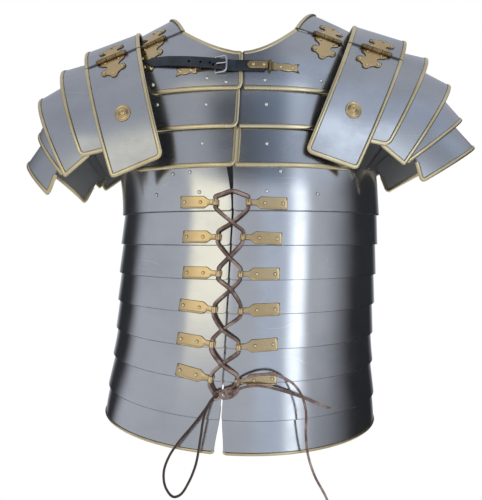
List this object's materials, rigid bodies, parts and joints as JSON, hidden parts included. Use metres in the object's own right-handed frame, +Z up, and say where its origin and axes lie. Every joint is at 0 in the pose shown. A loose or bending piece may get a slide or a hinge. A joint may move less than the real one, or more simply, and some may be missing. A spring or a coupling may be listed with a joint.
{
  "type": "lorica segmentata",
  "caption": "Segmented plate armour for the torso: hinged collar, chest and back plates, laced girdle of hoops and layered shoulder guards.",
  "frame": {"origin": "the point between the wearer's shoulders where the armour is carried, on its middle plane front to back", "axes": "+X is the wearer's left, -Y is the front and +Z is up"},
  "size_m": [0.636, 0.3241, 0.6723],
  "materials": {
    "satin_steel": "satin, fine brushing, bluish grey",
    "polished_steel": "polished, with fine scratches",
    "brass": "polished, lightly worn",
    "silver_buckle": "polished",
    "black_leather": "smooth, slight sheen",
    "brown_leather": "matt cut thong"
  },
  "bodies": {
    "root": {"collar_plate_left": "satin_steel", "breastplate_left": "satin_steel", "chest_plate_middle_left": "satin_steel", "chest_plate_lower_left": "satin_steel", "back_plate_upper_left": "satin_steel", "back_plate_middle_left": "satin_steel", "back_plate_lower_left": "satin_steel", "girdle_hoop_1_left": "polished_steel", "girdle_leather_front_left": "brown_leather", "girdle_leather_back_left": "brown_leather", "collar_plate_right": "satin_steel", "breastplate_right": "satin_steel", "chest_plate_middle_right": "satin_steel", "chest_plate_lower_right": "satin_steel", "back_plate_upper_right": "satin_steel", "back_plate_middle_right": "satin_steel", "back_plate_lower_right": "satin_steel", "girdle_hoop_1_right": "polished_steel", "girdle_leather_front_right": "brown_leather", "girdle_leather_back_right": "brown_leather", "front_lacing": "brown_leather", "back_lacing": "brown_leather", "chest_strap": "black_leather", "buckle_frame": "silver_buckle", "strap_fitting_left": "brass", "strap_fitting_right": "brass"},
    "girdle_2": {"girdle_hoop_2_left": "polished_steel", "girdle_hoop_2_right": "polished_steel"},
    "girdle_3": {"girdle_hoop_3_left": "polished_steel", "girdle_hoop_3_right": "polished_steel"},
    "girdle_4": {"girdle_hoop_4_left": "polished_steel", "girdle_hoop_4_right": "polished_steel"},
    "girdle_5": {"girdle_hoop_5_left": "polished_steel", "girdle_hoop_5_right": "polished_steel"},
    "girdle_6": {"girdle_hoop_6_left": "polished_steel", "girdle_hoop_6_right": "polished_steel", "lace_bow": "brown_leather"},
    "girdle_7": {"girdle_hoop_7_left": "polished_steel", "girdle_hoop_7_right": "polished_steel"},
    "girdle_8": {"girdle_hoop_8_left": "polished_steel", "girdle_hoop_8_right": "polished_steel"},
    "guard_left": {"guard_top_plate_left": "satin_steel", "guard_hinge_pin_front_left": "brass", "guard_hinge_pin_back_left": "brass"},
    "guard_front_left": {"guard_front_leaf_left": "satin_steel"},
    "guard_back_left": {"guard_back_leaf_left": "satin_steel"},
    "lesser_1_left": {"lesser_guard_1_left": "satin_steel"},
    "lesser_2_left": {"lesser_guard_2_left": "satin_steel"},
    "lesser_3_left": {"lesser_guard_3_left": "satin_steel"},
    "lesser_4_left": {"lesser_guard_4_left": "satin_steel"},
    "guard_right": {"guard_top_plate_right": "satin_steel", "guard_hinge_pin_front_right": "brass", "guard_hinge_pin_back_right": "brass"},
    "guard_front_right": {"guard_front_leaf_right": "satin_steel"},
    "guard_back_right": {"guard_back_leaf_right": "satin_steel"},
    "lesser_1_right": {"lesser_guard_1_right": "satin_steel"},
    "lesser_2_right": {"lesser_guard_2_right": "satin_steel"},
    "lesser_3_right": {"lesser_guard_3_right": "satin_steel"},
    "lesser_4_right": {"lesser_guard_4_right": "satin_steel"},
    "buckle_tongue": {"buckle_tongue": "silver_buckle"}
  },
  "joints": [
    {"name": "girdle_2_slide", "type": "slide", "parent": "root", "child": "girdle_2", "axis": [0.0549, 0, 0.9985], "range_m": [0, 0.008], "deforming": ["girdle_leather_front_left", "girdle_leather_front_right", "girdle_leather_back_left", "girdle_leather_back_right", "front_lacing", "back_lacing"]},
    {"name": "girdle_3_slide", "type": "slide", "parent": "girdle_2", "child": "girdle_3", "axis": [0.0549, 0, 0.9985], "range_m": [0, 0.008]},
    {"name": "girdle_4_slide", "type": "slide", "parent": "girdle_3", "child": "girdle_4", "axis": [0.0549, 0, 0.9985], "range_m": [0, 0.008]},
    {"name": "girdle_5_slide", "type": "slide", "parent": "girdle_4", "child": "girdle_5", "axis": [0.0549, 0, 0.9985], "range_m": [0, 0.008]},
    {"name": "girdle_6_slide", "type": "slide", "parent": "girdle_5", "child": "girdle_6", "axis": [0.0549, 0, 0.9985], "range_m": [0, 0.008]},
    {"name": "girdle_7_slide", "type": "slide", "parent": "girdle_6", "child": "girdle_7", "axis": [0.0549, 0, 0.9985], "range_m": [0, 0.008]},
    {"name": "girdle_8_slide", "type": "slide", "parent": "girdle_7", "child": "girdle_8", "axis": [0.0549, 0, 0.9985], "range_m": [0, 0.008]},
    {"name": "guard_lift_left", "type": "hinge", "parent": "root", "child": "guard_left", "pos_m": [0.1565, 0, 0.00998], "axis": [0, -1, 0], "range_deg": [0, 35]},
    {"name": "guard_front_hinge_left", "type": "hinge", "parent": "guard_left", "child": "guard_front_left", "pos_m": [0.17219, -0.08904, -0.04903], "axis": [-0.9538, -0.1156, 0.2774], "range_deg": [0, 60]},
    {"name": "guard_back_hinge_left", "type": "hinge", "parent": "guard_left", "child": "guard_back_left", "pos_m": [0.17219, 0.08904, -0.04903], "axis": [0.9538, -0.1156, -0.2774], "range_deg": [0, 60]},
    {"name": "lesser_1_lift_left", "type": "hinge", "parent": "guard_left", "child": "lesser_1_left", "pos_m": [0.168, 0, -0.15], "axis": [0, -1, 0], "range_deg": [0, 4]},
    {"name": "lesser_2_lift_left", "type": "hinge", "parent": "lesser_1_left", "child": "lesser_2_left", "pos_m": [0.168, 0, -0.15], "axis": [0, -1, 0], "range_deg": [0, 4]},
    {"name": "lesser_3_lift_left", "type": "hinge", "parent": "lesser_2_left", "child": "lesser_3_left", "pos_m": [0.168, 0, -0.15], "axis": [0, -1, 0], "range_deg": [0, 4]},
    {"name": "lesser_4_lift_left", "type": "hinge", "parent": "lesser_3_left", "child": "lesser_4_left", "pos_m": [0.168, 0, -0.15], "axis": [0, -1, 0], "range_deg": [0, 4]},
    {"name": "guard_lift_right", "type": "hinge", "parent": "root", "child": "guard_right", "pos_m": [-0.1455, 0, -0.00059], "axis": [0, 1, 0], "range_deg": [0, 35]},
    {"name": "guard_front_hinge_right", "type": "hinge", "parent": "guard_right", "child": "guard_front_right", "pos_m": [-0.17107, -0.08599, -0.0571], "axis": [-0.9363, 0.1082, -0.3342], "range_deg": [0, 60]},
    {"name": "guard_back_hinge_right", "type": "hinge", "parent": "guard_right", "child": "guard_back_right", "pos_m": [-0.17107, 0.08599, -0.0571], "axis": [0.9363, 0.1082, 0.3342], "range_deg": [0, 60]},
    {"name": "lesser_1_lift_right", "type": "hinge", "parent": "guard_right", "child": "lesser_1_right", "pos_m": [-0.152, 0, -0.15], "axis": [0, 1, 0], "range_deg": [0, 4]},
    {"name": "lesser_2_lift_right", "type": "hinge", "parent": "lesser_1_right", "child": "lesser_2_right", "pos_m": [-0.152, 0, -0.15], "axis": [0, 1, 0], "range_deg": [0, 4]},
    {"name": "lesser_3_lift_right", "type": "hinge", "parent": "lesser_2_right", "child": "lesser_3_right", "pos_m": [-0.152, 0, -0.15], "axis": [0, 1, 0], "range_deg": [0, 4]},
    {"name": "lesser_4_lift_right", "type": "hinge", "parent": "lesser_3_right", "child": "lesser_4_right", "pos_m": [-0.152, 0, -0.15], "axis": [0, 1, 0], "range_deg": [0, 4]},
    {"name": "buckle_tongue_swing", "type": "hinge", "parent": "root", "child": "buckle_tongue", "pos_m": [-0.03407, -0.13001, -0.08192], "axis": [-0.0075, -0.1496, -0.9887], "range_deg": [0, 60]}
  ],
  "couplings": [
    {"joint": "girdle_3_slide", "follows": "girdle_2_slide", "ratio": 1},
    {"joint": "girdle_4_slide", "follows": "girdle_2_slide", "ratio": 1},
    {"joint": "girdle_5_slide", "follows": "girdle_2_slide", "ratio": 1},
    {"joint": "girdle_6_slide", "follows": "girdle_2_slide", "ratio": 1},
    {"joint": "girdle_7_slide", "follows": "girdle_2_slide", "ratio": 1},
    {"joint": "girdle_8_slide", "follows": "girdle_2_slide", "ratio": 1},
    {"joint": "lesser_2_lift_left", "follows": "lesser_1_lift_left", "ratio": 1},
    {"joint": "lesser_3_lift_left", "follows": "lesser_1_lift_left", "ratio": 1},
    {"joint": "lesser_4_lift_left", "follows": "lesser_1_lift_left", "ratio": 1},
    {"joint": "lesser_2_lift_right", "follows": "lesser_1_lift_right", "ratio": 1},
    {"joint": "lesser_3_lift_right", "follows": "lesser_1_lift_right", "ratio": 1},
    {"joint": "lesser_4_lift_right", "follows": "lesser_1_lift_right", "ratio": 1}
  ]
}
